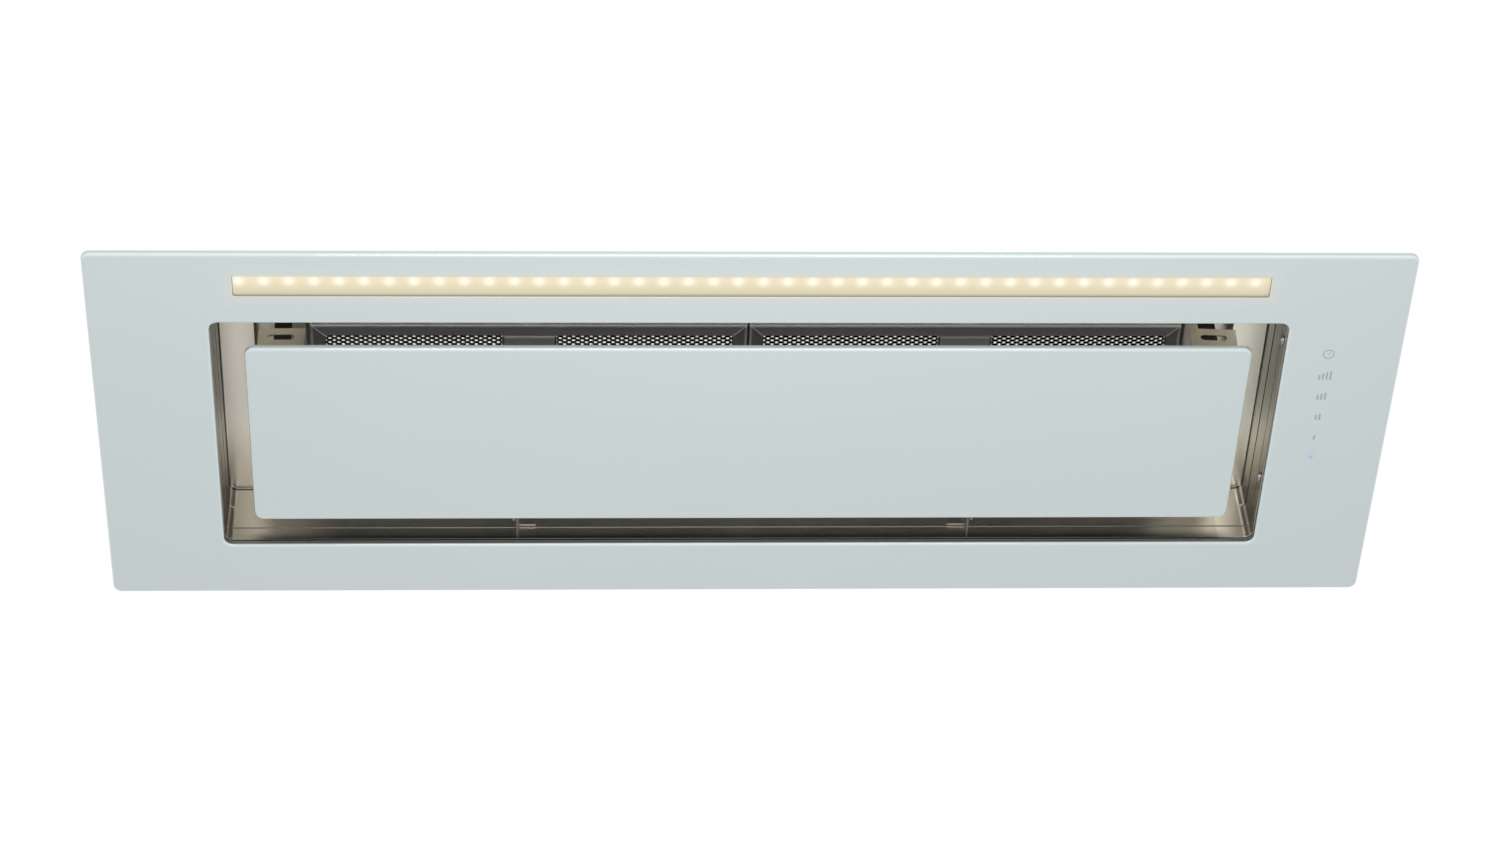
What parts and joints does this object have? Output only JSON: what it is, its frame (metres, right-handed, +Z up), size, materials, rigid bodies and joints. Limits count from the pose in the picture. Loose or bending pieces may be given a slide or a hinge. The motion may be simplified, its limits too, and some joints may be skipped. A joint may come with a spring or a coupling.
{
  "type": "under cabinet range hood",
  "caption": "Under cabinet range hood: flush white glass fascia with a light strip, a hinged suction panel over grease filters, and a blower with a flat duct outlet.",
  "frame": {"origin": "centre of the fascia's lower face, the face that looks down into the room", "axes": "+X to the touch control side as seen by the cook, -Y to the cook, +Z up into the cabinet"},
  "size_m": [0.9, 0.31, 0.2535],
  "materials": {
    "white_glass": "back-painted gloss",
    "tray_steel": "brushed",
    "galvanised": "galvanised satin",
    "filter_steel": "dark brushed",
    "filter_mesh": "expanded mesh",
    "aluminium": "satin",
    "diffuser": "frosted",
    "circuit": "solder mask",
    "white_board": "white solder mask",
    "dark_plastic": "moulded",
    "pale_plastic": "moulded",
    "fastener": "zinc plated",
    "magnet": "moulded"
  },
  "bodies": {
    "hood": {"fascia_glass": "white_glass", "carrier_frame": "tray_steel", "recess_tray": "tray_steel", "filter_carrier": "tray_steel", "filter_rear_rail": "tray_steel", "led_diffuser": "diffuser", "led_channel": "aluminium", "led_board": "white_board", "led_driver": "pale_plastic", "touch_board": "circuit", "touch_case": "dark_plastic", "touch_case_screw_1": "fastener", "touch_case_screw_2": "fastener", "casing_front": "galvanised", "casing_rear": "galvanised", "casing_top": "galvanised", "casing_end_left": "galvanised", "casing_end_right": "galvanised", "control_box": "dark_plastic", "control_box_lid": "dark_plastic", "terminal_box": "pale_plastic", "cable_gland": "dark_plastic", "scroll_band": "galvanised", "scroll_side_left": "galvanised", "scroll_side_right": "galvanised", "inlet_ring_left": "galvanised", "inlet_ring_right": "galvanised", "motor_body": "aluminium", "motor_mount": "galvanised", "outlet_spigot": "dark_plastic", "damper_spindle": "fastener", "panel_catch_left": "magnet", "hinge_lug_left": "tray_steel", "cabinet_clip_left_front": "tray_steel", "cabinet_clip_left_rear": "tray_steel", "panel_catch_right": "magnet", "hinge_lug_right": "tray_steel", "cabinet_clip_right_front": "tray_steel", "cabinet_clip_right_rear": "tray_steel"},
    "panel": {"panel_glass": "white_glass", "panel_pan": "galvanised", "panel_tab_left": "tray_steel", "panel_tab_right": "tray_steel", "hinge_arm_left": "tray_steel", "hinge_arm_right": "tray_steel", "hinge_pin_left": "fastener", "hinge_pin_right": "fastener"},
    "impeller": {"impeller": "galvanised", "motor_shaft": "fastener"},
    "damper_front": {"damper_flap_front": "dark_plastic"},
    "damper_rear": {"damper_flap_rear": "dark_plastic"},
    "filter_left": {"filter_frame_left": "filter_steel", "filter_mesh_left": "filter_mesh"},
    "filter_right": {"filter_frame_right": "filter_steel", "filter_mesh_right": "filter_mesh"},
    "latch_left": {"filter_latch_left": "filter_steel"},
    "latch_right": {"filter_latch_right": "filter_steel"}
  },
  "joints": [
    {"name": "panel_hinge", "type": "hinge", "parent": "hood", "child": "panel", "pos_m": [0, 0.091, 0.011], "axis": [1, 0, 0], "range_deg": [0, 80]},
    {"name": "impeller_spin", "type": "hinge", "parent": "hood", "child": "impeller", "pos_m": [0, 0.06245, 0.15], "axis": [1, 0, 0], "continuous": true},
    {"name": "damper_front_hinge", "type": "hinge", "parent": "hood", "child": "damper_front", "pos_m": [0, 0.106, 0.2195], "axis": [-1, 0, 0], "range_deg": [0, 75]},
    {"name": "damper_rear_hinge", "type": "hinge", "parent": "hood", "child": "damper_rear", "pos_m": [0, 0.106, 0.2195], "axis": [1, 0, 0], "range_deg": [0, 75]},
    {"name": "filter_left_drop", "type": "hinge", "parent": "hood", "child": "filter_left", "pos_m": [-0.15238, 0.092, 0.046], "axis": [1, 0, 0], "range_deg": [0, 10]},
    {"name": "filter_right_drop", "type": "hinge", "parent": "hood", "child": "filter_right", "pos_m": [0.15238, 0.092, 0.046], "axis": [1, 0, 0], "range_deg": [0, 10]},
    {"name": "latch_left_pull", "type": "slide", "parent": "filter_left", "child": "latch_left", "axis": [0, 1, 0], "range_m": [0, 0.005], "stiffness_N_per_m": 800},
    {"name": "latch_right_pull", "type": "slide", "parent": "filter_right", "child": "latch_right", "axis": [0, 1, 0], "range_m": [0, 0.005], "stiffness_N_per_m": 800}
  ]
}
